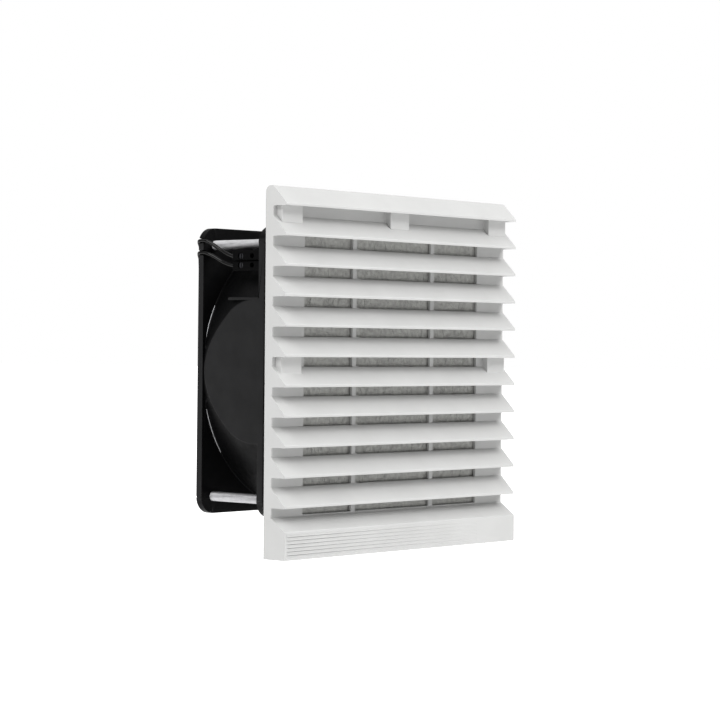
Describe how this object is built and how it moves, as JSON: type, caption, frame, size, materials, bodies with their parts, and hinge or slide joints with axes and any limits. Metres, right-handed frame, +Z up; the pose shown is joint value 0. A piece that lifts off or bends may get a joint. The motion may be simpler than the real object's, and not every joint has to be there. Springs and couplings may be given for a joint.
{
  "type": "cabinet filter fan",
  "caption": "Square filter fan for a cabinet wall: hinged louvre cover, filter mat, snap-in mounting frame and a bolted axial fan with a terminal block.",
  "frame": {"origin": "centre of the square panel cut-out, on the panel's front face", "axes": "+X to the right seen from the front, +Y into the cabinet along the fan's axis, +Z up"},
  "size_m": [0.1484, 0.0674, 0.1484],
  "materials": {
    "cover_plastic": "fine satin moulding, light grey",
    "frame_plastic": "fine satin moulding, light grey",
    "filter_fibre": "bonded grey fibre mat",
    "gasket_foam": "closed-cell foam",
    "fan_black": "satin black coating on a die casting",
    "impeller_black": "satin black coating on sheet metal",
    "motor_steel": "plain steel",
    "pin_steel": "ground steel",
    "bearing_steel": "polished bearing steel",
    "dark_steel": "blackened spring steel",
    "winding_copper": "enamelled copper wire",
    "bolt_zinc": "bright zinc plate",
    "terminal_black": "black polyamide",
    "screw_dark": "blackened steel",
    "lead_black": "smooth wire insulation"
  },
  "bodies": {
    "base": {"mounting_frame": "frame_plastic", "hinge_pins": "pin_steel", "panel_gasket": "gasket_foam", "filter_mat": "filter_fibre", "filter_support_grid": "frame_plastic", "fan_housing": "fan_black", "preload_washer": "motor_steel", "front_bearing": "bearing_steel", "rear_bearing": "bearing_steel", "bearing_cap": "terminal_black", "stator_core": "motor_steel", "stator_windings": "winding_copper", "fan_bolts": "bolt_zinc", "bolt_washers": "bolt_zinc", "bolt_nuts": "bolt_zinc", "terminal_block": "terminal_black", "terminal_screws": "screw_dark", "lead_live": "lead_black", "lead_neutral": "lead_black"},
    "cover": {"louvre_cover": "cover_plastic"},
    "rotor": {"impeller": "impeller_black", "rotor_cup": "motor_steel", "motor_shaft": "pin_steel", "shaft_circlip": "dark_steel"}
  },
  "joints": [
    {"name": "cover_hinge", "type": "hinge", "parent": "base", "child": "cover", "pos_m": [0, -0.00265, 0.0718], "axis": [-1, 0, 0], "range_deg": [0, 70]},
    {"name": "impeller_spin", "type": "hinge", "parent": "base", "child": "rotor", "pos_m": [0, 0.0335, 0], "axis": [0, 1, 0], "continuous": true}
  ]
}
